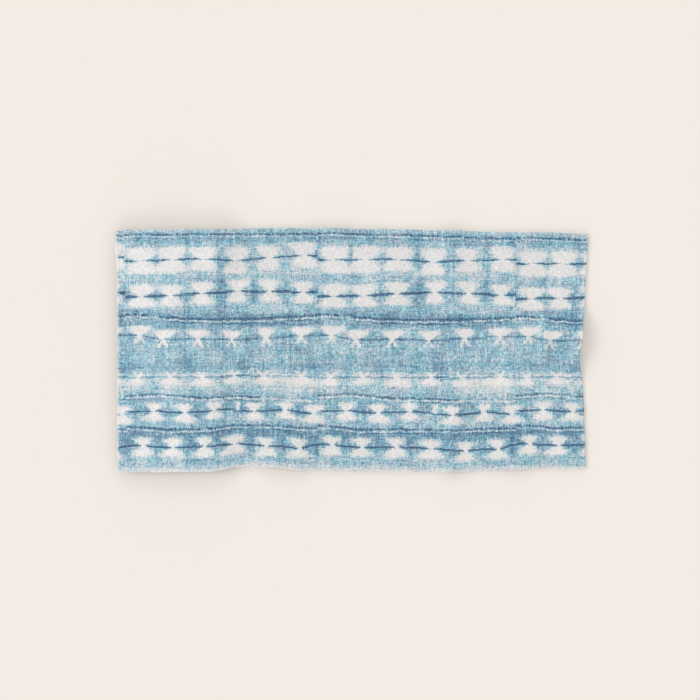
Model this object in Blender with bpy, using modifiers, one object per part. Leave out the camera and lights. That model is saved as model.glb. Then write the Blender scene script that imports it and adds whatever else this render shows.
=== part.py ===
"""A bath towel laid out flat, as one piece of hemmed terry cloth with the soft folds it fell in.

Metres, +Z up. The origin is under the middle of the towel, on the surface that it lies on.
The towel's length runs along X and its width along Y, with the printed face up.
"""

import bpy
import bmesh
from mathutils import Vector

# The cloth as it was cut and sewn.
CUT_LENGTH = 1.524
CUT_WIDTH = 0.762
CLOTH_THICKNESS = 0.0035
HEM_WIDTH = 0.010
HEM_THICKNESS = 0.006
HEM_STEP = 0.003

# The rectangle that the towel covers once its folds, which cross its length, have drawn it in.
DRAWN_IN = 0.042
LAID_LENGTH = CUT_LENGTH - DRAWN_IN
LAID_WIDTH = CUT_WIDTH

# Steps of the sheet's grid between the hems. Folds run across the length, so X has the finer ones.
STEPS_ALONG = 96
STEPS_ACROSS = 20

# How far each edge leaves that rectangle, outwards positive, as (place along the edge, distance).
# The ends are listed by Y and the sides by X.
LEFT_END = [(-0.381, -0.003), (0.000, -0.003), (0.250, -0.002), (0.330, 0.003), (0.381, 0.003)]
RIGHT_END = [
    (-0.381, -0.007),
    (-0.200, -0.012),
    (-0.120, -0.016),
    (-0.025, -0.028),
    (0.070, -0.017),
    (0.180, -0.009),
    (0.381, 0.000),
]
FAR_SIDE = [
    (-0.741, -0.003),
    (-0.480, 0.000),
    (-0.190, 0.005),
    (0.080, 0.002),
    (0.300, -0.003),
    (0.470, -0.008),
    (0.620, -0.009),
    (0.741, -0.014),
]
NEAR_SIDE = [
    (-0.741, 0.002),
    (-0.470, 0.000),
    (-0.350, -0.014),
    (-0.250, -0.014),
    (-0.160, -0.004),
    (0.050, 0.000),
    (0.300, 0.003),
    (0.420, -0.002),
    (0.600, -0.008),
    (0.741, -0.009),
]
# An end's bends die out over this length of the towel, and a side's over this much of its width.
END_REACH = 0.300
SIDE_REACH = 0.450

# The folds, each a ridge of cloth along a crest line. The columns are
#   name, crest start (x, y), crest end (x, y), bow: how far the crest bulges to its right midway,
#   height, flat: half the width of its level top, left and right: how far each flank runs out,
#   fade_start and fade_end: the share of the crest over which it grows from and sinks to nothing.
# Left and right are seen from above, looking from the crest's start to its end.
FOLDS = [
    ("raised_end", (-0.552, -0.40), (-0.562, 0.40), -0.078, 0.020, 0.024, 0.320, 0.240, 0.0, 0.0),
    ("arc_crease", (-0.494, -0.24), (-0.500, 0.26), -0.066, 0.006, 0.002, 0.090, 0.040, 0.30, 0.30),
    ("near_left", (-0.419, -0.40), (-0.428, -0.17), 0.004, 0.012, 0.006, 0.075, 0.080, 0.0, 0.65),
    ("far_left", (-0.436, 0.12), (-0.396, 0.40), -0.006, 0.010, 0.006, 0.072, 0.076, 0.60, 0.0),
    ("near_swell", (-0.210, -0.40), (-0.206, -0.15), 0.008, 0.012, 0.026, 0.090, 0.070, 0.0, 0.60),
    ("thin_crease", (-0.202, -0.30), (-0.205, 0.12), 0.003, 0.003, 0.002, 0.030, 0.020, 0.30, 0.25),
    ("far_swell", (-0.030, 0.20), (-0.060, 0.40), -0.010, 0.005, 0.030, 0.090, 0.080, 0.80, 0.0),
    ("long_ridge_near", (0.320, -0.40), (0.328, 0.10), -0.003, 0.008, 0.004, 0.056, 0.058, 0.0, 0.60),
    ("long_ridge_far", (0.326, -0.06), (0.324, 0.40), -0.003, 0.007, 0.004, 0.056, 0.058, 0.60, 0.0),
    ("near_right", (0.520, -0.40), (0.500, -0.24), 0.006, 0.006, 0.012, 0.060, 0.060, 0.0, 0.80),
    ("end_buckle", (0.770, 0.030), (0.600, 0.012), 0.004, 0.026, 0.014, 0.116, 0.116, 0.0, 0.85),
    ("buckle_crease", (0.602, -0.12), (0.604, 0.20), 0.006, 0.005, 0.001, 0.028, 0.024, 0.40, 0.40),
]


def ease(share):
    """0 to 1 with a level start and a level end."""
    share = min(1.0, max(0.0, share))
    return share * share * (3.0 - 2.0 * share)


def along_table(table, place):
    """The distance at a place along an edge, eased from each listed point to the next."""
    if place <= table[0][0]:
        return table[0][1]
    for (before, low), (after, high) in zip(table, table[1:]):
        if place <= after:
            return low + (high - low) * ease((place - before) / (after - before))
    return table[-1][1]


def laid_place(along, across):
    """Where a point of the plain laid rectangle lies once the edges have their bends."""
    right_share = ease(1.0 - (LAID_LENGTH / 2 - along) / END_REACH)
    left_share = ease(1.0 - (LAID_LENGTH / 2 + along) / END_REACH)
    far_share = ease(1.0 - (LAID_WIDTH / 2 - across) / SIDE_REACH)
    near_share = ease(1.0 - (LAID_WIDTH / 2 + across) / SIDE_REACH)
    x = along + right_share * along_table(RIGHT_END, across)
    x -= left_share * along_table(LEFT_END, across)
    y = across + far_share * along_table(FAR_SIDE, along)
    y -= near_share * along_table(NEAR_SIDE, along)
    return x, y


def fold_height(x, y, fold):
    """How high one fold lifts the cloth at a point."""
    _, start, end, bow, height, flat, left, right, fade_start, fade_end = fold
    chord = Vector(end) - Vector(start)
    offset = Vector((x, y)) - Vector(start)
    share = offset.dot(chord) / chord.length_squared
    if not 0.0 <= share <= 1.0:
        return 0.0
    to_right = (offset.x * chord.y - offset.y * chord.x) / chord.length
    to_right -= bow * 4.0 * share * (1.0 - share)
    flank = right if to_right > 0 else left
    lift = height * ease(1.0 - max(0.0, abs(to_right) - flat) / flank)
    if fade_start:
        lift *= ease(share / fade_start)
    if fade_end:
        lift *= ease((1.0 - share) / fade_end)
    return lift


def underside_height(x, y):
    """The height of the towel's underside: it lies on the surface wherever no fold lifts it."""
    return sum(fold_height(x, y, fold) for fold in FOLDS)


def grid_lines(size, steps):
    """Grid lines over one size of the laid towel: two for each hem and its step, and even ones between."""
    half = size / 2
    inner = half - HEM_WIDTH - HEM_STEP
    between = [-inner + 2 * inner * i / steps for i in range(steps + 1)]
    return [-half, -half + HEM_WIDTH, *between, half - HEM_WIDTH, half]


def make_towel(collection, material):
    """One sheet of cloth, with its folds, and thicker where the hem is turned in."""
    columns = grid_lines(LAID_LENGTH, STEPS_ALONG)
    rows = grid_lines(LAID_WIDTH, STEPS_ACROSS)
    mesh = bpy.data.meshes.new("towel")
    towel = bpy.data.objects.new("towel", mesh)
    collection.objects.link(towel)
    hem = towel.vertex_groups.new(name="hem")

    bm = bmesh.new()
    bmesh.ops.create_grid(bm, x_segments=len(columns) - 1, y_segments=len(rows) - 1, size=0.5)
    weights = bm.verts.layers.deform.verify()
    for vert in bm.verts:
        column = round((vert.co.x + 0.5) * (len(columns) - 1))
        row = round((vert.co.y + 0.5) * (len(rows) - 1))
        to_edge = min(LAID_LENGTH / 2 - abs(columns[column]), LAID_WIDTH / 2 - abs(rows[row]))
        vert[weights][hem.index] = 1.0 if to_edge < HEM_WIDTH + HEM_STEP / 2 else 0.0
        x, y = laid_place(columns[column], rows[row])
        vert.co = (x, y, underside_height(x, y))
    bmesh.ops.recalc_face_normals(bm, faces=bm.faces)
    if sum(face.normal.z for face in bm.faces) < 0:
        bmesh.ops.reverse_faces(bm, faces=bm.faces)
    bm.to_mesh(mesh)
    bm.free()
    mesh.materials.append(material)
    mesh.shade_smooth()

    # The sheet is the underside, and the cloth's thickness goes up from it.
    cloth = towel.modifiers.new("cloth thickness", "SOLIDIFY")
    cloth.thickness = HEM_THICKNESS
    cloth.offset = 1.0
    cloth.vertex_group = hem.name
    cloth.thickness_vertex_group = CLOTH_THICKNESS / HEM_THICKNESS
    centre_over_origin(towel)
    return towel


def centre_over_origin(thing):
    """Sets the middle of a thing's outline over the origin, because the bends of its edges are uneven."""
    finished = thing.evaluated_get(bpy.context.evaluated_depsgraph_get())
    corners = [Vector(corner) for corner in finished.bound_box]
    thing.location.x = -(max(c.x for c in corners) + min(c.x for c in corners)) / 2
    thing.location.y = -(max(c.y for c in corners) + min(c.y for c in corners)) / 2


def make_material():
    """Blue and white printed cotton terry."""
    material = bpy.data.materials.new("printed terry")
    material.use_nodes = True
    shader = material.node_tree.nodes["Principled BSDF"]
    shader.inputs["Base Color"].default_value = (0.38, 0.52, 0.61, 1.0)
    shader.inputs["Roughness"].default_value = 0.95
    shader.inputs["Metallic"].default_value = 0.0
    return material


def main():
    for thing in list(bpy.data.objects):
        bpy.data.objects.remove(thing)
    collection = bpy.data.collections.new("bath towel")
    bpy.context.scene.collection.children.link(collection)
    make_towel(collection, make_material())


main()
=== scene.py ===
# %% [markdown]
# # A printed bath towel
#
# This lesson dresses one piece of terry cloth that lies on a plain surface, seen from straight above.
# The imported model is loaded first. It gives the towel's outline and its main folds as a plain solid.
# The lesson then sews a finer sheet on the same folds, prints it, stitches its hem and lights it.

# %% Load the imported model
import math
import random
from functools import partial

import bpy
import bmesh
import numpy as np
from mathutils import Matrix, Vector, noise
from mathutils.bvhtree import BVHTree


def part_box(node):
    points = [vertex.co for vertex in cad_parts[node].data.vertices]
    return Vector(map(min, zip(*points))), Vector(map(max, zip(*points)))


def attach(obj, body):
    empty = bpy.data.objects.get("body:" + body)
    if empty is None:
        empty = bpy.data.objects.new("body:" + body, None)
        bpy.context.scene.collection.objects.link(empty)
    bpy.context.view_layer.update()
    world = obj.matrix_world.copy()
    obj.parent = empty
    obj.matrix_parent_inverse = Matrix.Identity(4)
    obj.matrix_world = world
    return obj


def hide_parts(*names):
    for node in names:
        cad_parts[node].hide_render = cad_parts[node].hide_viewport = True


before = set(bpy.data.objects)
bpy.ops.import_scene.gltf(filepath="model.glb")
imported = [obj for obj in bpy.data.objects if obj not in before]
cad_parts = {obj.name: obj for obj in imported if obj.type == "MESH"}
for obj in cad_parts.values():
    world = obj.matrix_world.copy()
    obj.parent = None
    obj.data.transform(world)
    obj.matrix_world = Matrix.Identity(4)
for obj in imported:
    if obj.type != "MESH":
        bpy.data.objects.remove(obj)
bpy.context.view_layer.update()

# %% [markdown]
# ## The sizes of the cloth
#
# A bath towel is cut as a rectangle. Its folds cross its length, so they draw the ends in a little.
# Terry cloth is about 3 mm thick, and its turned hem is thicker, because the cloth lies double there.

# %% Cloth sizes
CUT_LENGTH = 1.524
CUT_WIDTH = 0.762
DRAWN_IN = 0.042
LAID_LENGTH = CUT_LENGTH - DRAWN_IN
LAID_WIDTH = CUT_WIDTH
CLOTH_THICKNESS = 0.0034
HEM_WIDTH = 0.009
HEM_THICKNESS = 0.0057
MM = 0.001
print("laid rectangle", LAID_LENGTH, "by", LAID_WIDTH)

# %% [markdown]
# ## The bends of the edges
#
# No edge of a laid towel is straight. Each table lists how far an edge leaves the plain rectangle, outwards
# positive, and the places between are eased. A table is easier to read and to change than a drawn outline.

# %% Edge tables
LEFT_END = [(-0.381, -0.003), (0.000, -0.003), (0.250, -0.002), (0.330, 0.003), (0.381, 0.003)]
RIGHT_END = [
    (-0.381, -0.007), (-0.200, -0.012), (-0.120, -0.016), (-0.025, -0.028),
    (0.070, -0.017), (0.180, -0.009), (0.381, 0.000),
]
FAR_SIDE = [
    (-0.741, -0.003), (-0.480, 0.000), (-0.190, 0.005), (0.080, 0.002),
    (0.300, -0.003), (0.470, -0.008), (0.620, -0.009), (0.741, -0.014),
]
NEAR_SIDE = [
    (-0.741, 0.002), (-0.470, 0.000), (-0.350, -0.014), (-0.250, -0.014), (-0.160, -0.004),
    (0.050, 0.000), (0.300, 0.003), (0.420, -0.002), (0.600, -0.008), (0.741, -0.009),
]
END_REACH = 0.300
SIDE_REACH = 0.450


def ease(share):
    """0 to 1 with a level start and a level end, for a number or an array."""
    share = np.clip(share, 0.0, 1.0)
    return share * share * (3.0 - 2.0 * share)


def along_table(table, place):
    """The distance at each place along an edge, eased from each listed point to the next."""
    places = np.array([row[0] for row in table])
    distances = np.array([row[1] for row in table])
    after = np.clip(np.searchsorted(places, place), 1, len(table) - 1)
    share = (place - places[after - 1]) / (places[after] - places[after - 1])
    return distances[after - 1] + (distances[after] - distances[after - 1]) * ease(share)


def laid_place(along, across):
    """Where points of the plain laid rectangle lie once the edges have their bends."""
    right_share = ease(1.0 - (LAID_LENGTH / 2 - along) / END_REACH)
    left_share = ease(1.0 - (LAID_LENGTH / 2 + along) / END_REACH)
    far_share = ease(1.0 - (LAID_WIDTH / 2 - across) / SIDE_REACH)
    near_share = ease(1.0 - (LAID_WIDTH / 2 + across) / SIDE_REACH)
    x = along + right_share * along_table(RIGHT_END, across) - left_share * along_table(LEFT_END, across)
    y = across + far_share * along_table(FAR_SIDE, along) - near_share * along_table(NEAR_SIDE, along)
    return x, y


# %% [markdown]
# ## The folds
#
# A fold of a lying cloth is a soft ridge. Each one has a crest line, which may bow, a level top and two
# flanks, and it may fade towards its ends. The sheet lies on the surface wherever no fold lifts it.
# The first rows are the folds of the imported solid. The rows after them are finer creases.

# %% Fold table
# name, crest start (x, y), crest end (x, y), bow to its right, height, half of its level top,
# left flank, right flank, share of the crest over which it grows, share over which it sinks
FOLDS = [
    ("raised_end", (-0.552, -0.40), (-0.562, 0.40), -0.078, 0.020, 0.024, 0.320, 0.240, 0.0, 0.0),
    ("arc_crease", (-0.494, -0.24), (-0.500, 0.26), -0.066, 0.006, 0.002, 0.090, 0.040, 0.30, 0.30),
    ("near_left", (-0.419, -0.40), (-0.428, -0.17), 0.004, 0.012, 0.006, 0.075, 0.080, 0.0, 0.65),
    ("far_left", (-0.436, 0.12), (-0.396, 0.40), -0.006, 0.010, 0.006, 0.072, 0.076, 0.60, 0.0),
    ("near_swell", (-0.210, -0.40), (-0.206, -0.15), 0.008, 0.012, 0.026, 0.090, 0.070, 0.0, 0.60),
    ("thin_crease", (-0.202, -0.30), (-0.205, 0.12), 0.003, 0.003, 0.002, 0.030, 0.020, 0.30, 0.25),
    ("far_swell", (-0.030, 0.20), (-0.060, 0.40), -0.010, 0.005, 0.030, 0.090, 0.080, 0.80, 0.0),
    ("long_ridge_near", (0.320, -0.40), (0.328, 0.10), -0.003, 0.008, 0.004, 0.056, 0.058, 0.0, 0.60),
    ("long_ridge_far", (0.326, -0.06), (0.324, 0.40), -0.003, 0.007, 0.004, 0.056, 0.058, 0.60, 0.0),
    ("near_right", (0.520, -0.40), (0.500, -0.24), 0.006, 0.006, 0.012, 0.060, 0.060, 0.0, 0.80),
    ("end_buckle", (0.770, 0.030), (0.600, 0.012), 0.004, 0.026, 0.014, 0.116, 0.116, 0.0, 0.85),
    ("buckle_crease", (0.602, -0.12), (0.604, 0.20), 0.006, 0.005, 0.001, 0.028, 0.024, 0.40, 0.40),
    ("seam_crumple", (-0.590, 0.190), (-0.520, 0.085), 0.006, 0.0036, 0.001, 0.022, 0.014, 0.35, 0.45),
    ("second_crumple", (-0.560, 0.060), (-0.535, -0.060), 0.004, 0.0028, 0.001, 0.018, 0.014, 0.40, 0.40),
    ("notch_crease", (0.690, 0.075), (0.722, -0.010), 0.004, 0.0026, 0.001, 0.020, 0.012, 0.35, 0.40),
    ("buckle_pinch", (0.606, 0.050), (0.600, -0.060), -0.003, 0.0085, 0.001, 0.011, 0.026, 0.30, 0.30),
    ("ridge_lip", (0.330, -0.34), (0.332, 0.36), -0.002, 0.0012, 0.002, 0.020, 0.014, 0.25, 0.25),
]


def fold_height(x, y, fold):
    """How high one fold lifts the cloth at each point."""
    _, start, end, bow, height, flat, left, right, fade_start, fade_end = fold
    chord = Vector(end) - Vector(start)
    from_x = x - start[0]
    from_y = y - start[1]
    share = (from_x * chord.x + from_y * chord.y) / chord.length_squared
    to_right = (from_x * chord.y - from_y * chord.x) / chord.length - bow * 4.0 * share * (1.0 - share)
    flank = np.where(to_right > 0, right, left)
    lift = height * ease(1.0 - np.maximum(0.0, np.abs(to_right) - flat) / flank)
    if fade_start:
        lift = lift * ease(share / fade_start)
    if fade_end:
        lift = lift * ease((1.0 - share) / fade_end)
    return np.where((share >= 0.0) & (share <= 1.0), lift, 0.0)


def underside_height(x, y):
    """The height of the towel's underside over the surface that it lies on."""
    return sum(fold_height(x, y, fold) for fold in FOLDS)


print(len(FOLDS), "folds, the highest", max(fold[4] for fold in FOLDS), "m")

# %% [markdown]
# ## The sheet
#
# The sheet is a fine grid. Its hem has two narrow rows, and the middle has steps of about 5 mm.
# The grid keeps a UV map of where each point lies on the cloth, in metres from the near left corner.
# The print reads that map, so it stays on the cloth however the cloth is bent.

# %% Make the sheet
STEPS_ALONG = 286
STEPS_ACROSS = 144
HEM_STEP = 0.003
PRINT_MAP = "cloth"


def grid_lines(size, steps):
    """Grid lines over one size of the laid towel: two for each hem and its step, and even ones between."""
    half = size / 2
    inner = half - HEM_WIDTH - HEM_STEP
    between = np.linspace(-inner, inner, steps + 1)
    ends = [half - HEM_WIDTH, half - HEM_WIDTH / 2, half]
    return np.array([-half, -half + HEM_WIDTH / 2, -half + HEM_WIDTH, *between, *ends])


def flat_grid(columns, rows):
    """A grid whose points stand at the given lines, with their places written in its UV map."""
    bm = bmesh.new()
    bmesh.ops.create_grid(bm, x_segments=len(columns) - 1, y_segments=len(rows) - 1, size=0.5)
    for vert in bm.verts:
        column = round((vert.co.x + 0.5) * (len(columns) - 1))
        row = round((vert.co.y + 0.5) * (len(rows) - 1))
        vert.co = (columns[column], rows[row], 0.0)
    print_map = bm.loops.layers.uv.new(PRINT_MAP)
    for face in bm.faces:
        for loop in face.loops:
            place = loop.vert.co
            loop[print_map].uv = (place.x + LAID_LENGTH / 2, place.y + LAID_WIDTH / 2)
    return bm


def waver(x, y, size, seed):
    """A smooth uneven value of about -1 to 1 at each point, whose bumps are the given size."""
    return np.array([noise.noise(Vector((px / size, py / size, seed))) for px, py in zip(x, y)])


columns = grid_lines(LAID_LENGTH, STEPS_ALONG)
rows = grid_lines(LAID_WIDTH, STEPS_ACROSS)
sheet = flat_grid(columns, rows)
along = np.array([vert.co.x for vert in sheet.verts])
across = np.array([vert.co.y for vert in sheet.verts])
to_edge = np.minimum(LAID_LENGTH / 2 - np.abs(along), LAID_WIDTH / 2 - np.abs(across))
laid_x, laid_y = laid_place(along, across)
print(len(sheet.verts), "points in the sheet")

# %% [markdown]
# ## Lay the sheet on its folds
#
# Each point goes up to the height of the folds there. Real cloth is never quite smooth, so wide soft
# swells and small puckers are added, and the puckers grow along the hem, where the stitches gather the cloth.

# %% Fold and pucker
SWELL_SIZE = 0.085
SWELL_HEIGHT = 0.0016
PUCKER_SIZE = 0.024
PUCKER_HEIGHT = 0.0005
HEM_PUCKER_SIZE = 0.030
HEM_PUCKER_HEIGHT = 0.0012
HEM_PUCKER_REACH = 0.045
EDGE_RAGGED_SIZE = 0.016
EDGE_RAGGED = 0.0007

swell = np.maximum(0.0, waver(laid_x, laid_y, SWELL_SIZE, 3.1)) * SWELL_HEIGHT
pucker = np.maximum(0.0, waver(laid_x, laid_y, PUCKER_SIZE, 7.7)) * PUCKER_HEIGHT
near_hem = ease(1.0 - to_edge / HEM_PUCKER_REACH)
hem_pucker = np.maximum(0.0, waver(laid_x, laid_y, HEM_PUCKER_SIZE, 11.3)) * HEM_PUCKER_HEIGHT * near_hem
height = underside_height(laid_x, laid_y) + swell + pucker + hem_pucker
at_edge = ease(1.0 - to_edge / HEM_WIDTH)
shift_x = waver(laid_x, laid_y, EDGE_RAGGED_SIZE, 17.9) * EDGE_RAGGED * at_edge
shift_y = waver(laid_x, laid_y, EDGE_RAGGED_SIZE, 23.3) * EDGE_RAGGED * at_edge
for vert, x, y, z in zip(sheet.verts, laid_x + shift_x, laid_y + shift_y, height):
    vert.co = (x, y, z)
print("the underside rises to", round(float(height.max()), 4), "m")

# %% [markdown]
# ## Give the cloth its thickness
#
# A Solidify modifier turns the sheet into cloth. Its vertex group makes the hem thicker than the rest,
# and the row between them thinner, where the stitches pull the pile down. The modifier is then applied, so
# that the rim can be rounded and the underside can have its own finish.

# %% Thicken the cloth
STITCH_GROOVE = 0.0030


def add_object(name, data):
    """A new object with the given data, in the scene."""
    thing = bpy.data.objects.new(name, data)
    bpy.context.scene.collection.objects.link(thing)
    return thing


def mesh_of(bm, name):
    """A mesh with the shape of a bmesh, which isn't needed after that."""
    mesh = bpy.data.meshes.new(name)
    bm.to_mesh(mesh)
    bm.free()
    return mesh


def cloth_share(distance):
    """How thick the cloth is at a distance from its edge, as a share of the hem's thickness."""
    plain = CLOTH_THICKNESS / HEM_THICKNESS
    groove = STITCH_GROOVE / HEM_THICKNESS
    if distance < HEM_WIDTH - MM:
        return 1.0
    if distance < HEM_WIDTH + MM:
        return groove
    return plain


thin = add_object("sheet", mesh_of(sheet, "sheet"))
thickness = thin.vertex_groups.new(name="thickness")
for index, distance in enumerate(to_edge):
    thickness.add([index], cloth_share(distance), "REPLACE")
solidify = thin.modifiers.new("cloth thickness", "SOLIDIFY")
solidify.thickness = HEM_THICKNESS
solidify.offset = 1.0
solidify.vertex_group = thickness.name
solidify.thickness_vertex_group = 0.0
thickened = thin.evaluated_get(bpy.context.evaluated_depsgraph_get())
towel_mesh = bpy.data.meshes.new_from_object(thickened)
towel_mesh.name = "towel_cloth"
bpy.data.objects.remove(thin)
print(len(towel_mesh.polygons), "faces of cloth")

# %% [markdown]
# ## Round the rim
#
# A turned hem has a folded edge, which is round. The sharp edges between the faces and the rim are found by
# their angle along the outline and bevelled. Only the rim is touched, so the folds keep their shape.

# %% Bevel the folded edge
RIM_ROUND = 0.0018
RIM_STEPS = 2
SHARP = math.radians(55)

cloth = bmesh.new()
cloth.from_mesh(towel_mesh)
sharp_edges = [edge for edge in cloth.edges if edge.is_manifold and edge.calc_face_angle() > SHARP]
bmesh.ops.bevel(
    cloth,
    geom=sharp_edges,
    offset=RIM_ROUND,
    offset_type="OFFSET",
    affect="EDGES",
    segments=RIM_STEPS,
    profile=0.5,
    material=-1,
    clamp_overlap=True,
)
print(len(sharp_edges), "sharp edges rounded")

# %% [markdown]
# ## Two finishes on one piece
#
# The printed pile is on the upper face, and it goes round the folded edge to the hem behind. The rest of the
# underside is undyed. So each face gets a material slot by the way it faces and by how near the edge it is.

# %% Sort the faces into printed and undyed
PRINTED = 0
UNDYED = 1
HEM_BEHIND = HEM_WIDTH - MM

print_map = cloth.loops.layers.uv[PRINT_MAP]
for face in cloth.faces:
    place = sum((loop[print_map].uv for loop in face.loops), Vector((0.0, 0.0))) / len(face.loops)
    inside = min(place.x, LAID_LENGTH - place.x, place.y, LAID_WIDTH - place.y)
    behind = face.normal.z < 0 and inside > HEM_BEHIND
    face.material_index = UNDYED if behind else PRINTED
    face.smooth = True
cloth.to_mesh(towel_mesh)
cloth.free()
towel = add_object("towel_cloth", towel_mesh)
triangles = sum(len(face.vertices) - 2 for face in towel_mesh.polygons)
print(triangles, "triangles in the towel")

# %% [markdown]
# ## Helpers for finishes
#
# The finishes are shader nodes. A print like this one needs many small sums, so a few helpers feed a socket,
# do one sum, fade between two values, and draw noise whose grains are longer one way than the other.
# Each adds its node to the tree that its values come from.

# %% Node helpers
STREAK_ROUGHNESS = 0.6
# how far on each side of its middle a noise is followed: usually, and where the change is sharper or softer
NOISE_SWING = 0.18
NOISE_SWING_SHARP = 0.15
NOISE_SWING_SOFT = 0.20


def is_socket(value):
    """Whether a value comes out of a node."""
    return isinstance(value, bpy.types.NodeSocket)


def tree_of(values):
    """The node tree of the first of some values that comes out of a node."""
    return next(value.id_data for value in values if is_socket(value))


def feed(socket, value):
    """Gives an input its value: another node's output, or a plain number, colour or vector."""
    if is_socket(value):
        socket.id_data.links.new(value, socket)
    else:
        socket.default_value = value


def new_node(kind, values, **settings):
    """A node of one kind, with the values fed to its first inputs, in their order."""
    node = tree_of(values).nodes.new("ShaderNode" + kind)
    for name, setting in settings.items():
        setattr(node, name, setting)
    for socket, value in zip(node.inputs, values):
        feed(socket, value)
    return node


def sum_of(operation, *values):
    """One Math node."""
    return new_node("Math", values, operation=operation).outputs[0]


# times_plus multiplies the first two values and adds the third, and size_of takes off a value's sign
times = partial(sum_of, "MULTIPLY")
plus = partial(sum_of, "ADD")
minus = partial(sum_of, "SUBTRACT")
over = partial(sum_of, "DIVIDE")
times_plus = partial(sum_of, "MULTIPLY_ADD")
size_of = partial(sum_of, "ABSOLUTE")


def apart(*values):
    """How far two values lie apart."""
    return size_of(minus(*values))


def join_all(operation, values):
    """Several values joined by one operation, from the first to the last."""
    result, *others = values
    for value in others:
        result = sum_of(operation, result, value)
    return result


def fade(value, start, end, low=0.0, high=1.0):
    """Goes smoothly from low to high while the value goes from start to end."""
    values = (value, start, end, low, high)
    return new_node("MapRange", values, interpolation_type="SMOOTHSTEP").outputs["Result"]


def swing(streak, part, amount):
    """Goes from minus the amount to the amount over that part of a noise on each side of its middle."""
    return fade(streak, 0.5 - part, 0.5 + part, -amount, amount)


def as_vector(*values):
    """Three values as one vector."""
    return new_node("CombineXYZ", values).outputs["Vector"]


def streaks(along, down, along_size, down_size, seed, detail=2.0):
    """Noise of about 0 to 1 whose grains have the given length and breadth, in the coordinates' unit."""
    node = new_node("TexNoise", [as_vector(over(along, along_size), over(down, down_size), seed)])
    node.inputs["Scale"].default_value = 1.0
    node.inputs["Detail"].default_value = detail
    node.inputs["Roughness"].default_value = STREAK_ROUGHNESS
    return node.outputs["Fac"]


def new_group(name, inputs, outputs):
    """An empty node group with float sockets. Returns it with its input and output nodes."""
    tree = bpy.data.node_groups.new(name, "ShaderNodeTree")
    for way, sockets in (("INPUT", inputs), ("OUTPUT", outputs)):
        for socket in sockets:
            tree.interface.new_socket(socket, in_out=way, socket_type="NodeSocketFloat")
    return tree, tree.nodes.new("NodeGroupInput").outputs, tree.nodes.new("NodeGroupOutput").inputs


def use_group(group, values):
    """One use of a node group, with a value for each of its named inputs."""
    node = tree_of(values.values()).nodes.new("ShaderNodeGroup")
    node.node_tree = group
    for name, value in values.items():
        feed(node.inputs[name], value)
    return node.outputs


# %% [markdown]
# ## How the print is drawn
#
# The print shows cloth dyed blue after it was gathered by stitches. Each tie kept the dye out of two lobes,
# one on each side of the thread, so a mark looks like an hourglass. A dark spindle runs from tie to tie.
# The print repeats along the towel. In a repeat its six rows have six marks each, and one mark is a stray.
#
# A lobe is an oval that widens away from its tie. A group holds this formula once, and each mark is one use
# of the group with sizes of its own.

# %% The lobe and the mark
# a repeat in mm, the shape of a lobe as shares of its reach, and the narrow waist at a tie in mm
REPEAT = 627.0
MIDDLE = 1.04
LOBE_SWELL = 0.62
WAIST_HALF = 5.0
WAIST_REACH = 9.0
LEG_SQUARE = 6.0
LOBE_SIZES = ("Up Half", "Up Reach", "Up Lean", "Low Half", "Low Reach", "Low Lean")
LEG_SIZES = ("Length", "Spread", "Thickness", "Side")


def round_repeat(distance):
    """A distance along, taken by the shorter way round the repeat."""
    return sum_of("WRAP", distance, REPEAT / 2, -REPEAT / 2)


def make_mark_group():
    """One mark. Outside is under 1 in its lobes and grows outwards. Beside is how far along its tie is."""
    inputs = ("Along", "Down", "Full", "Square", "Tie", "Line", *LOBE_SIZES)
    tree, given, result = new_group("tied mark", inputs, ("Outside", "Beside"))
    beside = round_repeat(minus(given["Along"], given["Tie"]))
    below = minus(given["Down"], given["Line"])
    parts = []
    for side, name in ((-1.0, "Up"), (1.0, "Low")):
        reach = over(times(below, side), given[name + " Reach"])
        lean = times(reach, given[name + " Lean"])
        wide = plus(sum_of("MAXIMUM", reach, 0.0), given["Full"])
        share = over(wide, plus(given["Full"], LOBE_SWELL))
        half = times(share, given[name + " Half"])
        aside = size_of(over(minus(beside, lean), half))
        onward = size_of(times_plus(reach, 2.0, -MIDDLE))
        parts.append(plus(*(sum_of("POWER", part, given["Square"]) for part in (aside, onward))))
    waist_aside = over(beside, WAIST_HALF)
    waist_onward = over(below, WAIST_REACH)
    parts.append(times_plus(waist_aside, waist_aside, times(waist_onward, waist_onward)))
    feed(result["Outside"], join_all("MINIMUM", parts))
    feed(result["Beside"], size_of(beside))
    return tree


def make_leg_group():
    """Two thin undyed strokes that spread from a tie. Outside is under 1 on the strokes."""
    tree, given, result = new_group("thread legs", ("Along", "Down", "Tie", "Line", *LEG_SIZES), ("Outside",))
    beside = round_repeat(minus(given["Along"], given["Tie"]))
    below = times(minus(given["Down"], given["Line"]), given["Side"])
    share = over(below, given["Length"])
    off = apart(size_of(beside), times(share, given["Spread"]))
    across_stroke = over(off, given["Thickness"])
    past_end = sum_of("POWER", times(apart(share, 0.5), 2.0), LEG_SQUARE)
    feed(result["Outside"], sum_of("MAXIMUM", across_stroke, past_end))
    return tree


mark_group = make_mark_group()
leg_group = make_leg_group()
print(len(mark_group.nodes), "nodes in a mark,", len(leg_group.nodes), "in its legs")

# %% [markdown]
# ## The chart of the print
#
# The chart is in millimetres: along from the start of a repeat, and down from the far edge. Its ties were
# read from the photograph on a coarse grid, with a share for how wide each mark came out. A row's line
# goes from tie to tie, and three of the rows step where the repeat begins again. The lobes have one usual
# size for each row, and a seeded draw makes each a little wider, longer or more slanted than that.

# %% Rows of marks
LOBE_UNEVEN = 0.08
NO_LOBE = (1.0, 1.0)
draw = random.Random(5)

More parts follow.
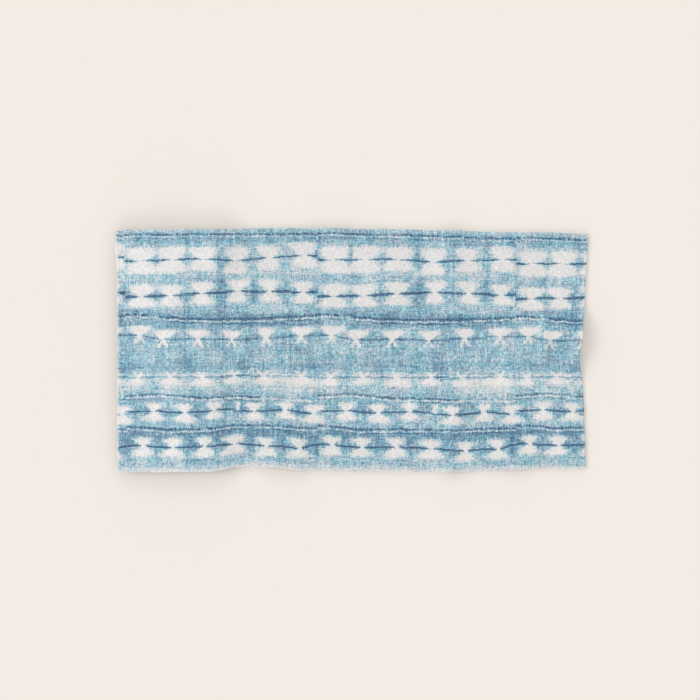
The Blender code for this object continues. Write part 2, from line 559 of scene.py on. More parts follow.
# name: its ties, each with its place along, its place down and how wide its mark is
TIES = {
    "first": [
        (50, 97, 1.05), (150, 94, 1.1), (255, 93, 1.15),
        (365, 98, 0.9), (475, 90, 0.75), (585, 84, 0.85),
    ],
    "second": [
        (50, 212, 1.1), (145, 209, 1.0), (250, 202, 1.05),
        (370, 194, 0.8), (475, 197, 0.7), (580, 200, 0.8),
    ],
    "third": [
        (45, 335, 1.0), (120, 348, 1.0), (235, 346, 1.0),
        (350, 347, 0.85), (465, 343, 0.75), (575, 336, 1.1),
    ],
    "fourth": [
        (40, 468, 0.85), (145, 467, 0.9), (250, 468, 1.2),
        (360, 466, 0.8), (455, 468, 0.8), (575, 466, 1.25),
    ],
    "fifth": [
        (90, 575, 0.95), (190, 579, 1.05), (290, 575, 0.95),
        (425, 584, 0.95), (525, 578, 0.85), (615, 585, 1.05),
    ],
    "stray": [(370, 571, 1.0)],
    "sixth": [
        (45, 684, 0.9), (140, 690, 1.0), (250, 688, 1.0),
        (360, 691, 1.2), (465, 699, 0.9), (570, 696, 0.95),
    ],
}
# the rows whose line steps where the repeat begins again
STEPPED = ("first", "second", "third")
# name: usual half width and reach of its upper lobes, the same of its lower lobes, their lean to the right,
# how unevenly they lean
ROW_LOBES = {
    "first": ((38, 37), (38, 37), 0, 8),
    "second": ((36, 34), (35, 32), 2, 5),
    "third": ((30, 27), NO_LOBE, 4, 6),
    "fourth": (NO_LOBE, (29, 24), -2, 8),
    "fifth": ((24, 25), (29, 29), -2, 5),
    "stray": ((9, 17), (6, 9), 0, 2),
    "sixth": ((25, 28), (31, 31), -3, 6),
}
# name: how full and how square its lobes are, how far their edge fades, dye left in them,
# half the thickness of its dark line, how much that deepens the dye,
# how much deeper the dye is midway between two ties
ROW_FINISH = {
    "first": (1.00, 2.7, 2.4, 0.15, 3.6, 0.85, 0.20),
    "second": (0.45, 2.3, 2.1, 0.10, 5.0, 0.80, 0.18),
    "third": (0.30, 2.4, 2.2, 0.08, 4.2, 0.50, 0.06),
    "fourth": (0.36, 2.0, 2.2, 0.16, 3.2, 0.45, 0.10),
    "fifth": (0.30, 2.0, 2.0, 0.07, 3.4, 0.90, 0.00),
    "stray": (0.30, 2.0, 2.4, 0.10, 1.0, 0.00, 0.00),
    "sixth": (0.30, 2.0, 2.2, 0.08, 3.4, 0.90, 0.04),
}
# name: length, spread and thickness of the two threads at each tie, 1 below the tie or -1 above it
ROW_LEGS = {
    "third": (25, 15, 4.4, 1),
    "fourth": (18, 16, 4.8, -1),
}


def uneven_size(size):
    """A size as it came out on one mark."""
    return size * (1.0 + draw.uniform(-LOBE_UNEVEN, LOBE_UNEVEN))


def marks_of_row(name):
    """The sizes of each mark of a row, by the names of the mark's inputs."""
    upper, lower, lean, lean_uneven = ROW_LOBES[name]
    for along, down, wide in TIES[name]:
        mark = {"Tie": along, "Line": down}
        for side, (half, reach) in (("Up", upper), ("Low", lower)):
            mark[side + " Half"] = uneven_size(half * wide)
            mark[side + " Reach"] = uneven_size(reach)
            mark[side + " Lean"] = lean + draw.uniform(-lean_uneven, lean_uneven)
        yield mark


row_marks = {name: list(marks_of_row(name)) for name in TIES}
print(sum(len(marks) for marks in row_marks.values()), "marks in a repeat")

# %% [markdown]
# ## Dye bands and seams
#
# Between the marks the dye is deeper in some bands than in others. A table lists them from the far edge to
# the near one. Each has its middle, half its height and how much it adds to the usual depth, where 0 is
# undyed and 1 is deep blue. Four printed seams of navy thread run along the towel, each over a white zigzag.

# %% Bands and seams
USUAL_DEPTH = 0.585
# name, down, half its height, how much it adds to the depth
BANDS = [
    ("far edge", 0, 9, -0.14),
    ("under the far seam", 24, 21, 0.20),
    ("first row", 95, 55, -0.11),
    ("between the first and second rows", 132, 12, -0.08),
    ("at the upper seam", 286, 24, 0.34),
    ("over the fourth row", 434, 16, 0.12),
    ("fourth row", 478, 34, -0.19),
    ("fifth row", 572, 44, 0.14),
    ("at the lower seam", 652, 24, 0.40),
    ("sixth row", 694, 24, 0.20),
    ("near edge", 762, 13, -0.34),
]
# name, the places (along, down) that it passes, half its thickness, how much of it is navy, how much white,
# from where to where along it is faint, and how faint
SEAMS = [
    ("far", [(0, 14), (300, 15), (627, 17)], 3.2, 1.00, 0.60, 0, 0, 0.0),
    ("upper", [(0, 268), (95, 271), (125, 278), (230, 283), (400, 283), (627, 273)],
     4.6, 1.15, 0.85, 66, 112, 0.8),
    ("middle", [(0, 525), (100, 521), (260, 533), (430, 536), (627, 538)],
     3.6, 1.00, 0.90, 440, 620, 0.7),
    ("lower", [(0, 624), (60, 626), (150, 635), (250, 631), (627, 631)],
     4.0, 1.10, 0.75, 0, 0, 0.0),
]
# down, how far it falls along the repeat, half its thickness, what it adds
STRIPES = [
    (245, 3, 2.0, 0.18),
    (461, -2, 2.6, -0.30),
    (479, 2, 2.4, -0.24),
]
# broad soft areas: along, down, half length, half height, what each adds
AREAS = [
    (530, 500, 90, 45, -0.22),
    (385, 455, 26, 55, 0.26),
    (130, 262, 110, 18, 0.12),
    (55, 288, 60, 24, -0.24),
    (258, 395, 20, 45, 0.14),
    (615, 690, 22, 34, 0.16),
    (480, 250, 110, 16, -0.12),
    (320, 210, 24, 60, 0.14),
]
STRIPE_INSET = 15.0
DASH_COUNT = 9
DASH_LENGTH = (70, 260)
# what a dash lies between: down, how far it falls, half its thickness, what it adds
DASH_SPANS = [(40, 740), (-3, 4), (2.0, 2.8), (0.16, 0.50)]
PATCH_COUNT = 8
# what a patch lies between: along, down, half length, half height, what it adds
PATCH_SPANS = [(0.0, REPEAT), (60, 740), (32, 75), (30, 50), (-0.20, 0.20)]


def draw_between(spans):
    """A value drawn from each span."""
    return [draw.uniform(*span) for span in spans]


def draw_dash():
    """A short dark line along the weft, at a place of its own."""
    length = draw.uniform(*DASH_LENGTH)
    start = draw.uniform(0.0, REPEAT - length)
    return (start, start + length, *draw_between(DASH_SPANS))


strokes = [(STRIPE_INSET, REPEAT - STRIPE_INSET, *stripe) for stripe in STRIPES]
strokes += [draw_dash() for _ in range(DASH_COUNT)]
patches = [*AREAS, *(draw_between(PATCH_SPANS) for _ in range(PATCH_COUNT))]
print(len(BANDS), "bands,", len(SEAMS), "seams,", len(strokes), "strokes,", len(patches), "patches")

# %% [markdown]
# ## Draw the rows and the seams
#
# A few functions draw what the chart lists. A row takes the nearest of its marks at each place, and its dark
# line is thin at a tie and thick between two. Bands, patches and strokes are soft shapes, and a seam is a
# broken navy line over a zigzag of white thread. All distances are in millimetres.

# %% Draw a row
SPINDLE_TIP = 8.0
SPINDLE_FULL = 34.0
SPINDLE_FAR = 70.0
SPINDLE_FAR_SHARE = 0.6
SPINDLE_CLEAR = (0.5 * SPINDLE_TIP, 1.3 * SPINDLE_TIP)
SPINDLE_THIN = 2.0
SPINDLE_EDGE = (1.3, 0.4)
COLUMN_BESIDE = (34.0, 52.0)
COLUMN_OFF = (52.0, 24.0)


def line_through(along, points):
    """How far down a line lies that goes softly from each point (along, down) to the next."""
    down = points[0][1]
    for (before, high), (after, low) in zip(points, points[1:]):
        down = plus(fade(along, before, after, 0.0, low - high), down)
    return down


def row_of_marks(place, marks, full, square):
    """The marks of one row: how far a place is outside them, and how far beside the nearest tie."""
    uses = [use_group(mark_group, {**place, "Full": full, "Square": square, **mark}) for mark in marks]
    return [join_all("MINIMUM", [use[name] for use in uses]) for name in ("Outside", "Beside")]


def row_of_legs(place, marks, sizes):
    """The two thin threads at each tie of one row."""
    legs = {**place, **dict(zip(LEG_SIZES, sizes))}
    uses = [use_group(leg_group, {**legs, "Tie": mark["Tie"], "Line": mark["Line"]}) for mark in marks]
    return join_all("MINIMUM", [use["Outside"] for use in uses])


def spindle(off, beside, thick, deepens):
    """How much the dark line of one row adds. It starts in a point by each tie and is thick between two."""
    half = fade(beside, SPINDLE_TIP, SPINDLE_FULL, SPINDLE_THIN, thick)
    strength = fade(beside, SPINDLE_FULL, SPINDLE_FAR, deepens, deepens * SPINDLE_FAR_SHARE)
    clear_of_tie = fade(beside, *SPINDLE_CLEAR)
    return times(times(fade(over(off, half), *SPINDLE_EDGE), clear_of_tie), strength)


def between_ties(off, beside, adds):
    """How much deeper the dye is in a soft column midway between two ties of one row."""
    return times(fade(beside, *COLUMN_BESIDE), fade(off, *COLUMN_OFF, 0.0, adds))


print("a row's dark line is", 2 * SPINDLE_THIN, "mm thick at a tie")

# %% Draw patches, strokes and seams
# where a band, stroke or thread begins and where it is full, as shares of half its height
BAND_EDGE = (1.5, 0.2)
STROKE_EDGE = (1.5, 0.4)
NAVY_EDGE = (1.3, 0.5)
SECOND_EDGE = (0.9, 0.3)
PATCH_EDGE = (1.5, 0.15)
STROKE_ENDS = 0.06
ZIGZAG_HALF = 2.6
ZIGZAG_BELOW = 5.6
ZIGZAG_EDGE = (4.8, 1.8)
SECOND_BELOW = 11.5
SECOND_SHARE = 0.7
# what breaks a line up: size of the grains along and down in mm, and the noise where it is faint and full
STROKE_GRAIN = (40.0, 60.0)
STROKE_BREAKS = (0.36, 0.56, 0.15)
NAVY_GRAIN = (5.0, 40.0)
NAVY_BREAKS = (0.42, 0.55, 0.10)
SECOND_GRAIN = (90.0, 60.0)
SECOND_BREAKS = (0.44, 0.56, 0.0, SECOND_SHARE)
FLECK_GRAIN = (3.4, 6.0)
FLECK_BREAKS = (0.42, 0.56)
SECOND_SEED = 0.7
FLECK_SEED = 0.5


def within(off, half, edge, adds=1.0):
    """Full near a line and nothing away from it. The edge holds both places as shares of half its height."""
    return fade(off, half * edge[0], half * edge[1], 0.0, adds)


def soft_patch(along, down, middle_along, middle_down, half_long, half_high, adds):
    """A soft oval of deeper or paler dye, which may run over the end of the repeat."""
    aside = over(round_repeat(minus(along, middle_along)), half_long)
    onward = over(minus(down, middle_down), half_high)
    off = times_plus(aside, aside, times(onward, onward))
    return fade(off, *PATCH_EDGE, 0.0, adds)


def soft_stroke(along, down, start, end, height, falls, half, adds, seed):
    """A thin uneven line of deeper or paler dye along the weft."""
    share = fade(along, start, end)
    off = apart(down, times_plus(share, falls, height))
    ends = fade(times(share, minus(1.0, share)), 0.0, STROKE_ENDS)
    uneven = fade(streaks(along, down, *STROKE_GRAIN, seed), *STROKE_BREAKS)
    return times(within(off, half, STROKE_EDGE, adds), times(ends, uneven))


def seam_threads(along, down, line, half, navy_share, white_share, here, seed):
    """One seam: its broken navy line, the white zigzag below it, and here and there a second line."""
    off = minus(down, line)
    broken = fade(streaks(along, down, *NAVY_GRAIN, seed), *NAVY_BREAKS)
    navy = times(within(size_of(off), half, NAVY_EDGE), broken)
    second_here = fade(streaks(along, down, *SECOND_GRAIN, seed + SECOND_SEED), *SECOND_BREAKS)
    second = times(within(apart(off, SECOND_BELOW), half, SECOND_EDGE), second_here)
    navy = sum_of("MAXIMUM", navy, times(second, broken))
    white_off = apart(minus(off, ZIGZAG_BELOW), sum_of("PINGPONG", along, ZIGZAG_HALF))
    flecks = fade(streaks(along, down, *FLECK_GRAIN, seed + FLECK_SEED), *FLECK_BREAKS)
    white = times(fade(white_off, *ZIGZAG_EDGE), flecks)
    return times(navy, times(here, navy_share)), times(white, white_share)


print("the white zigzag under a seam goes to and fro every", 2 * ZIGZAG_HALF, "mm")

# %% [markdown]
# ## Put the print together
#
# One group turns a place on the cloth into the dye's depth there. It starts with the bands, lets the spindle
# lines deepen them, and lets the marks lighten them. Then it adds the seams. The place is first shaken a
# little, because dye creeps along the threads and no edge of a tied mark is sharp.

# %% The whole print as a group
# how far a mark is clear and its halo reaches, where a lobe's edge is at 1
MARK_CLEAR = 0.34
HALO_REACH = 3.0
HALO_CLEARS = 0.22
LINE_OVER_LOBES = 0.6
LEG_EDGE = (1.6, 0.6)
LEG_CLEARS = 0.85
SEAM_DEEPENS = 0.75
ZIGZAG_CLEARS = 0.9
FAINT_EDGE = 6.0
STROKE_SEED = 60.0
SEAM_SEED = 20.0
# how the marks are shaken along and down, and the lines down: which way, the noise (size of its grains along
# and down in mm, seed, detail), how far to and fro in mm
SHAKES = [
    ("Along", (9.0, 6.0, 4.2, 2.0), 4.0),
    ("Down", (3.0, 14.0, 8.4, 2.0), 2.6),
    ("Down", (26.0, 60.0, 12.6, 1.0), 1.6),
]


def make_print_group():
    """The depth of the dye, from 0 to about 1.4, at a place in a repeat, in millimetres along and down."""
    tree, given, result = new_group("tied print", ("Along", "Down"), ("Depth",))
    along_plain, down_plain = given["Along"], given["Down"]
    along, down, down_line = (
        plus(given[axis], swing(streaks(along_plain, down_plain, *grain), NOISE_SWING_SOFT, amount))
        for axis, grain, amount in SHAKES
    )
    place = {"Along": along, "Down": down}

    depth = USUAL_DEPTH
    for _, middle, half, adds in BANDS:
        depth = plus(within(apart(down_plain, middle), half, BAND_EDGE, adds), depth)
    for patch in patches:
        depth = plus(depth, soft_patch(along, down, *patch))
    for index, stroke in enumerate(strokes):
        depth = plus(depth, soft_stroke(along_plain, down_line, *stroke, STROKE_SEED + index))
    depth = sum_of("MAXIMUM", depth, 0.0)

    outsides = []
    spindles = []
    spared = []
    for name, ties in TIES.items():
        full, square, gone, left, thick, deepens, column = ROW_FINISH[name]
        outside, beside = row_of_marks(place, row_marks[name], full, square)
        outsides.append(outside)
        points = [tie[:2] for tie in ties]
        if name not in STEPPED:
            points.append((REPEAT, points[0][1]))
        line = line_through(along_plain, points)
        spindles.append(spindle(apart(down_line, line), beside, thick, deepens))
        depth = plus(between_ties(apart(down_plain, line), beside, column), depth)
        spared.append(fade(outside, gone, MARK_CLEAR, 0.0, 1.0 - left))
    for name, legs in ROW_LEGS.items():
        spared.append(fade(row_of_legs(place, row_marks[name], legs), *LEG_EDGE, 0.0, LEG_CLEARS))
    halo = fade(join_all("MINIMUM", outsides), HALO_REACH, 1.0, 1.0, 1.0 - HALO_CLEARS)
    kept = minus(1.0, join_all("MAXIMUM", spared))
    line_kept = fade(kept, 0.0, 1.0, LINE_OVER_LOBES, 1.0)
    lines = times(join_all("MAXIMUM", spindles), line_kept)
    depth = times_plus(times(depth, halo), kept, lines)

    for index, (_, points, half, navy_share, white_share, start, end, faint) in enumerate(SEAMS):
        line = line_through(along_plain, points)
        past_start = fade(along_plain, start - FAINT_EDGE, start + FAINT_EDGE)
        before_end = fade(along_plain, end + FAINT_EDGE, end - FAINT_EDGE)
        here = times_plus(times(past_start, before_end), -faint, 1.0)
        shares = (half, navy_share, white_share, here)
        navy, white = seam_threads(along_plain, down_line, line, *shares, SEAM_SEED + index)
        depth = times_plus(navy, SEAM_DEEPENS, depth)
        depth = times_plus(white, times(depth, -ZIGZAG_CLEARS), depth)
    feed(result["Depth"], depth)
    return tree


print_group = make_print_group()
print(len(print_group.nodes), "nodes in the print")

# %% [markdown]
# ## The pile of the terry
#
# Both faces of the cloth have the same pile. It is drawn as small loops in the bump, which lie this way and
# that, on a rough surface with a soft sheen. All is placed by the cloth's own map, in millimetres.

# %% The pile
TERRY_LOOKS = {"Roughness": 0.92, "Sheen Weight": 0.12, "Sheen Roughness": 0.6, "Specular IOR Level": 0.15}
LOOP_SIZE = 2.3
LOOP_DEPTH = 0.0011
BUMP_STRENGTH = 0.55
# how much the bump falls from a loop's middle to its edge, and rises with the lie of the pile
LOOP_FALL = -0.8
LIE_RISE = 1.6
# in this and all grains below: size of the grains along and down in mm, seed
LIE_GRAIN = (22.0, 12.0, 51.0)


def new_material(name, looks):
    """A material and its Principled shader, with plain values for some of the shader's inputs."""
    material = bpy.data.materials.new(name)
    material.use_nodes = True
    shader = material.node_tree.nodes["Principled BSDF"]
    for socket, value in looks.items():
        shader.inputs[socket].default_value = value
    return material, shader


def cloth_place(tree):
    """The place on the cloth in millimetres: along from the left edge, and down from the far edge."""
    cloth_map = tree.nodes.new("ShaderNodeUVMap")
    cloth_map.uv_map = PRINT_MAP
    place = new_node("SeparateXYZ", [cloth_map.outputs["UV"]]).outputs
    return times(place["X"], 1.0 / MM), times_plus(place["Y"], -1.0 / MM, LAID_WIDTH / MM)


def terry_surface(shader, along, down):
    """The pile of terry cloth, as loops in the bump. Returns how far a place is from its loop's middle."""
    place = as_vector(over(along, LOOP_SIZE), over(down, LOOP_SIZE), 0.0)
    loops = new_node("TexVoronoi", [place], voronoi_dimensions="2D")
    loops.inputs["Scale"].default_value = 1.0
    lie = streaks(along, down, *LIE_GRAIN)
    height = times_plus(loops.outputs["Distance"], LOOP_FALL, times(lie, LIE_RISE))
    bump = shader.id_data.nodes.new("ShaderNodeBump")
    bump.inputs["Strength"].default_value = BUMP_STRENGTH
    bump.inputs["Distance"].default_value = LOOP_DEPTH
    feed(bump.inputs["Height"], height)
    feed(shader.inputs["Normal"], bump.outputs["Normal"])
    return loops.outputs["Distance"]


print("a loop of the pile is about", LOOP_SIZE, "mm wide")

# %% [markdown]
# ## The dye in the cloth
#
# The print is asked for the depth of the dye at a place in its repeat. Terry takes dye unevenly, so streaks
# along the threads are added to that depth, the gaps between the loops of the pile are darkened as painted
# shade, and two of the edges stay paler.
# A colour ramp then turns the depth into a colour, from undyed cotton through slate blue to navy.

# %% Depth and colour of the dye
REPEAT_START = 6.0
PRINT_START = 1.6
SCALE_ALONG = 0.998
SCALE_DOWN = 0.990
REPEAT_SLOPE = -1.4 / REPEAT
# towards the left end the print is drawn together, most at the near corner: where, and by how much
GATHER_ALONG = (480.0, 140.0)
GATHER = 20.0
CORNER_ALONG = (360.0, 240.0)
CORNER_DOWN = (560.0, 690.0)
CORNER_GATHER = 12.0
# size of the grains along and down in mm, seed, how much they add to or take from the depth
UNEVEN = [
    (70.0, 240.0, 28.0, 0.09),
    (60.0, 30.0, 29.0, 0.07),
    (55.0, 7.0, 30.0, 0.10),
    (28.0, 2.6, 31.0, 0.12),
    (12.0, 110.0, 34.0, 0.10),
    (130.0, 9.0, 36.0, 0.08),
    (7.5, 60.0, 32.0, 0.11),
    (3.0, 36.0, 33.0, 0.11),
]
UNEVEN_UNDYED = 0.13
LOOP_GAP_PAINTED_SHADE = 0.06
EDGE_PALE_REACH = 9.0
EDGE_PALE_FULL = 2.0
LEFT_EDGE_PALE = 0.55
NEAR_EDGE_PALE = 0.30
DEEPEST = 1.5
# depth, colour
DYE_COLOURS = [
    (0.00, (0.762, 0.728, 0.712)),
    (0.25, (0.552, 0.588, 0.600)),
    (0.50, (0.370, 0.510, 0.574)),
    (0.75, (0.246, 0.406, 0.492)),
    (1.00, (0.151, 0.284, 0.376)),
    (1.30, (0.088, 0.171, 0.264)),
    (1.50, (0.060, 0.120, 0.210)),
]


def place_in_repeat(along, down):
    """Where a place on the cloth lies in a repeat of the print."""
    corner_share = times(fade(along, *CORNER_ALONG), fade(down, *CORNER_DOWN))
    end_gather = fade(along, *GATHER_ALONG, REPEAT_START, REPEAT_START + GATHER)
    gathered = times_plus(corner_share, CORNER_GATHER, end_gather)
    from_start = over(minus(along, gathered), SCALE_ALONG)
    from_top = over(minus(down, PRINT_START), SCALE_DOWN)
    slanted = times_plus(from_start, REPEAT_SLOPE, from_top)
    return {"Along": sum_of("WRAP", from_start, REPEAT, 0.0), "Down": slanted}


def taken_up(along, down, depth, loops):
    """The depth of the dye once the cloth has taken it up unevenly and less of it at two of its edges, with
    painted shade in the gaps between the loops of the pile.
    """
    parts = [swing(streaks(along, down, *grain), NOISE_SWING, amount) for *grain, amount in UNEVEN]
    share = fade(depth, 0.0, 0.5, UNEVEN_UNDYED, 1.0)
    depth = times_plus(join_all("ADD", parts), share, depth)
    # painted shade: darker in the gaps between the loops of the pile
    depth = times_plus(loops, LOOP_GAP_PAINTED_SHADE, depth)
    near_left = fade(along, EDGE_PALE_REACH, EDGE_PALE_FULL, 1.0, 1.0 - LEFT_EDGE_PALE)
    from_near = minus(LAID_WIDTH / MM, down)
    near_edge = fade(from_near, EDGE_PALE_REACH, EDGE_PALE_FULL, 1.0, 1.0 - NEAR_EDGE_PALE)
    return times(depth, times(near_left, near_edge))


def dye_colour(depth):
    """The colour of the cloth at a depth of the dye."""
    ramp = new_node("ValToRGB", [over(depth, DEEPEST)])
    elements = ramp.color_ramp.elements
    while len(elements) < len(DYE_COLOURS):
        elements.new(0.5)
    for element, (stop, colour) in zip(elements, DYE_COLOURS):
        element.position = stop / DEEPEST
        element.color = (*colour, 1.0)
    return ramp.outputs["Color"]


print(len(UNEVEN), "noises make the dye uneven, and", len(DYE_COLOURS), "colours span its depth")

# %% [markdown]
# ## The printed terry
#
# The threads and brushed patches of the pile make the dyed cloth a little lighter here and darker there, and
# its hue wanders slightly. Towards the left end the colour is made lighter as painted light, for the brighter
# light on that end.

# %% Printed material
# how much lighter or darker a brushed patch of the pile looks
BRUSHED = 0.025
BRUSHED_GRAIN = (120.0, 90.0, 39.0)
# painted light: towards the left end the colour is made lighter, for the brighter light on that end
LEFT_END_PAINTED_LIGHT = 0.07
PAINTED_LIGHT_FULL = 250.0
PAINTED_LIGHT_GONE = 400.0
PAINTED_LIGHT_WANDERS = 60.0
PAINTED_LIGHT_GRAIN = (90.0, 160.0, 43.0)
THREAD_LONG = 12.0
THREAD_THICK = 3.2
THREAD_CONTRAST = 0.7
WEFT = (THREAD_LONG, THREAD_THICK, 37.0, 1.0)
WARP = (THREAD_THICK, THREAD_LONG, 47.0, 1.0)
# the depth from which the speckle and the wandering hue are at their fullest
SPECKLE_FULL = 0.6
SPECKLE_UNDYED = 0.10
SPECKLE_DYED = 0.38
# how much the wandering hue adds to red, green and blue
HUE_SHIFT = (-0.09, 0.03, 0.025)
HUE_GRAIN = (70.0, 24.0, 45.0)


def threads_and_painted_light(along, down, depth):
    """How much lighter or darker the threads and brushed patches of the pile make the cloth, with painted light
    towards the left end.
    """
    weft = swing(streaks(along, down, *WEFT), NOISE_SWING, THREAD_CONTRAST)
    warp = swing(streaks(along, down, *WARP), NOISE_SWING, THREAD_CONTRAST)
    amount = fade(depth, 0.0, SPECKLE_FULL, SPECKLE_UNDYED, SPECKLE_DYED)
    brushed = swing(streaks(along, down, *BRUSHED_GRAIN), NOISE_SWING_SHARP, BRUSHED)
    # painted light: the colour is made lighter towards the left end, and the edge of that lighter part wanders
    painted_light_along = times_plus(streaks(along, down, *PAINTED_LIGHT_GRAIN), PAINTED_LIGHT_WANDERS, along)
    painted_left_light = fade(painted_light_along, PAINTED_LIGHT_GONE, PAINTED_LIGHT_FULL, 0.0, LEFT_END_PAINTED_LIGHT)
    brushed_and_painted_light = plus(plus(brushed, painted_left_light), 1.0)
    return times_plus(plus(weft, warp), amount, brushed_and_painted_light)


def make_printed_terry():
    """Terry cloth with the print."""
    material, shader = new_material("printed_terry", TERRY_LOOKS)
    along, down = cloth_place(material.node_tree)
    depth = use_group(print_group, place_in_repeat(along, down))["Depth"]
    depth = taken_up(along, down, depth, terry_surface(shader, along, down))
    # the threads' tone and brushed patches, with the painted light towards the left end
    tone_and_painted_light = threads_and_painted_light(along, down, depth)
    hue = swing(streaks(along, down, *HUE_GRAIN), NOISE_SWING_SHARP, 1.0)
    tint = [times_plus(hue, times(fade(depth, 0.1, SPECKLE_FULL), share), tone_and_painted_light) for share in HUE_SHIFT]
    speckled = new_node("VectorMath", [dye_colour(depth), as_vector(*tint)], operation="MULTIPLY")
    feed(shader.inputs["Base Color"], speckled.outputs["Vector"])
    return material


printed_terry = make_printed_terry()
print("the print repeats every", round(REPEAT * SCALE_ALONG, 1), "mm")

# %% [markdown]
# ## The undyed back and the thread
#
# The photograph shows no part of the underside. It is finished plainly, as undyed terry of the same pile.
# The hem's thread is white cotton.

# %% Plain materials
UNDYED_COLOUR = (0.74, 0.71, 0.67)
THREAD_LOOKS = {
    "Base Color": (0.80, 0.78, 0.74, 1.0),
    "Roughness": 0.7,
    "Sheen Weight": 0.1,
    "Specular IOR Level": 0.25,
}
UNDYED_GRAIN = (9.0, 4.0, 41.0)
UNDYED_DARKER = 0.90


def make_undyed_terry():
    """Terry cloth without dye."""
    material, shader = new_material("undyed_terry", TERRY_LOOKS)
    along, down = cloth_place(material.node_tree)
    terry_surface(shader, along, down)
    ramp = new_node("ValToRGB", [streaks(along, down, *UNDYED_GRAIN)])
    ramp.color_ramp.elements[0].color = (*(part * UNDYED_DARKER for part in UNDYED_COLOUR), 1.0)
    ramp.color_ramp.elements[1].color = (*UNDYED_COLOUR, 1.0)
    feed(shader.inputs["Base Color"], ramp.outputs["Color"])
    return material


undyed_terry = make_undyed_terry()
hem_thread = new_material("hem_thread", THREAD_LOOKS)[0]
towel_mesh.materials.append(printed_terry)
towel_mesh.materials.append(undyed_terry)
print([material.name for material in towel_mesh.materials])

# %% [markdown]
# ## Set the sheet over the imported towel
#
# The sheet was made about its own middle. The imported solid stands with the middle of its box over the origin,
# so the sheet's points are moved by the difference. The object itself stays at the origin.

# %% Centre the sheet
cad_low, cad_high = (Vector(corner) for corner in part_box("towel"))


def box_of(mesh):
    """The lowest and highest corner of a mesh."""
    points = np.array([vert.co for vert in mesh.vertices])
    return Vector(points.min(axis=0)), Vector(points.max(axis=0))


sheet_low, sheet_high = box_of(towel_mesh)
to_cad = (cad_low + cad_high - sheet_low - sheet_high) / 2
to_cad.z = cad_low.z - sheet_low.z
for vert in towel_mesh.vertices:
    vert.co += to_cad
sheet_low, sheet_high = box_of(towel_mesh)
print("moved by", [round(part, 4) for part in to_cad])
print("the sheet fills", [round(part, 4) for part in sheet_high - sheet_low])
print("the solid fills", [round(part, 4) for part in cad_high - cad_low])

# %% [markdown]
# ## Stitch the hem
#
# The hem is held by a row of short stitches. Each one is a small rounded bead of thread, pressed into the
# pile on both faces. A ray cast onto the cloth finds its height there, so the row follows every pucker.

# %% Hem stitches
STITCH_LENGTH = 0.0030
STITCH_PITCH = 0.0042
STITCH_RADIUS = 0.00045
STITCH_SINK = 0.0001
STITCH_INSIDE = 0.0078
RAY_HEIGHT = 0.2


def hem_points(inside, pitch):
    """Places along the stitch line of the laid rectangle, and whether each lies along a long side."""
    half_long = LAID_LENGTH / 2 - inside
    half_wide = LAID_WIDTH / 2 - inside
    for side in (-1, 1):
        for step in range(int(2 * half_long / pitch) + 1):
            yield -half_long + step * pitch, side * half_wide, True
        for step in range(1, int(2 * half_wide / pitch)):
            yield side * half_long, -half_wide + step * pitch, False


def repeat_shape(bm, count):
    """Copies the shape in a bmesh until it is there the given number of times, doubling it each time."""
    one = (len(bm.verts), len(bm.edges), len(bm.faces))
    made = 1
    while made < count:
        more = min(made, count - made)
        parts = zip((bm.verts, bm.edges, bm.faces), one)
        bmesh.ops.duplicate(bm, geom=[item for kind, size in parts for item in list(kind)[: size * more]])
        made += more
    return one[0]


cloth_tree = BVHTree.FromObject(towel, bpy.context.evaluated_depsgraph_get())
places = []
for place_x, place_y, on_long_side in hem_points(STITCH_INSIDE, STITCH_PITCH):
    next_x, next_y = (place_x + MM, place_y) if on_long_side else (place_x, place_y + MM)
    x, y = laid_place(np.array([place_x, next_x]), np.array([place_y, next_y]))
    heading = Vector((x[1] - x[0], y[1] - y[0], 0.0))
    for look in (-1.0, 1.0):
        start = Vector((x[0], y[0], -look * RAY_HEIGHT)) + Vector((to_cad.x, to_cad.y, 0.0))
        hit, normal, _, _ = cloth_tree.ray_cast(start, Vector((0.0, 0.0, look)))
        if hit is not None:
            direction = (heading - normal * heading.dot(normal)).normalized()
            turn = Matrix((direction, normal.cross(direction), normal)).transposed()
            places.append(Matrix.Translation(hit - normal * STITCH_SINK) @ turn.to_4x4())
stitches = bmesh.new()
bmesh.ops.create_uvsphere(stitches, u_segments=6, v_segments=4, radius=1.0)
bmesh.ops.scale(stitches, vec=(STITCH_LENGTH / 2, STITCH_RADIUS, STITCH_RADIUS), verts=stitches.verts)
bead_points = repeat_shape(stitches, len(places))
for index, vert in enumerate(stitches.verts):
    vert.co = places[index // bead_points] @ vert.co
for face in stitches.faces:
    face.smooth = True
stitch_mesh = mesh_of(stitches, "hem_stitches")
stitch_mesh.materials.append(hem_thread)
hem_stitches = add_object("hem_stitches", stitch_mesh)
print(len(places), "stitches,", sum(len(face.vertices) - 2 for face in stitch_mesh.polygons), "triangles")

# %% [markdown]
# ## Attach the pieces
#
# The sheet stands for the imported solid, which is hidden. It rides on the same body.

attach(towel, "root")
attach(hem_stitches, "root")
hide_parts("towel")

# %% [markdown]
# ## Surface, light and camera
#
# The towel lies on a plain warm white surface. The light is a soft dome with a few broad lamps from low down,
# the strongest from the left, so the folds shade softly and the shadow beside the towel is short.
# Sun lamps give the same light everywhere, so the surface stays even.

# %% Floor
FLOOR_HALF = 40.0
FLOOR_GAP = 0.0002
GROUND_SEEN = (0.896, 0.838, 0.775)
LIGHT_LEVEL = 1.10
FLOOR_LOOKS = {
    "Base Color": (*(part / LIGHT_LEVEL for part in GROUND_SEEN), 1.0),
    "Roughness": 0.95,
    "Specular IOR Level": 0.0,
}

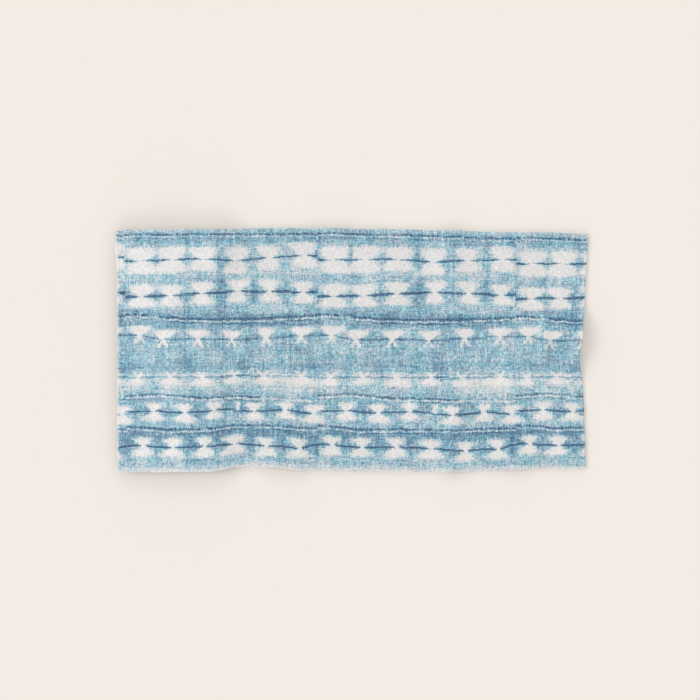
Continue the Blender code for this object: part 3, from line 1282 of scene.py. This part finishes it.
ground = bmesh.new()
bmesh.ops.create_grid(ground, x_segments=1, y_segments=1, size=FLOOR_HALF)
bmesh.ops.translate(ground, vec=(0.0, 0.0, cad_low.z - FLOOR_GAP), verts=ground.verts)
floor = add_object("floor", mesh_of(ground, "floor"))
floor.data.materials.append(new_material("floor_surface", FLOOR_LOOKS)[0])
print("floor at", round(cad_low.z - FLOOR_GAP, 5))

# %% Light
DOME = 0.649
LAMP_WIDTH = math.radians(30)
# name, direction that it comes from (0 is +X, 90 the far side) and height, both in degrees, strength
LAMPS = [
    ("key", 172, 28, 1.25),
    ("low_far_left", 125, 15, 0.30),
    ("low_far", 90, 15, 0.75),
    ("low_far_right", 50, 15, 0.35),
    ("low_right", 0, 15, 0.30),
    ("low_near_right", 310, 15, 0.40),
    ("low_near", 270, 15, 0.85),
    ("low_near_left", 235, 15, 0.30),
]


def make_lamp(name, azimuth, elevation, strength):
    """A broad sun lamp that shines from a direction."""
    light = bpy.data.lights.new(name, "SUN")
    light.energy = strength
    light.angle = LAMP_WIDTH
    lamp = add_object(name, light)
    lamp.rotation_euler = (0.0, math.radians(90 - elevation), math.radians(azimuth))


for row in LAMPS:
    make_lamp(*row)
world = bpy.data.worlds.new("soft_dome")
world.use_nodes = True
world.node_tree.nodes["Background"].inputs["Color"].default_value = (DOME, DOME, DOME, 1.0)
bpy.context.scene.world = world
flat_light = DOME + sum(row[3] * math.sin(math.radians(row[2])) for row in LAMPS) / math.pi
print("light on a level surface", round(flat_light, 3))

# %% Camera
FRAME_WIDTH = 2.2055
LENS = 85.0
SENSOR = 36.0
CAMERA_X = -0.0057
CAMERA_Y = 0.0005

camera_data = bpy.data.cameras.new("overhead")
camera_data.lens = LENS
camera_data.sensor_width = SENSOR
camera = add_object("overhead", camera_data)
camera.location = (CAMERA_X, CAMERA_Y, FRAME_WIDTH * LENS / SENSOR)
bpy.context.scene.camera = camera
bpy.context.scene.view_settings.view_transform = "Standard"
print("camera", [round(part, 3) for part in camera.location])
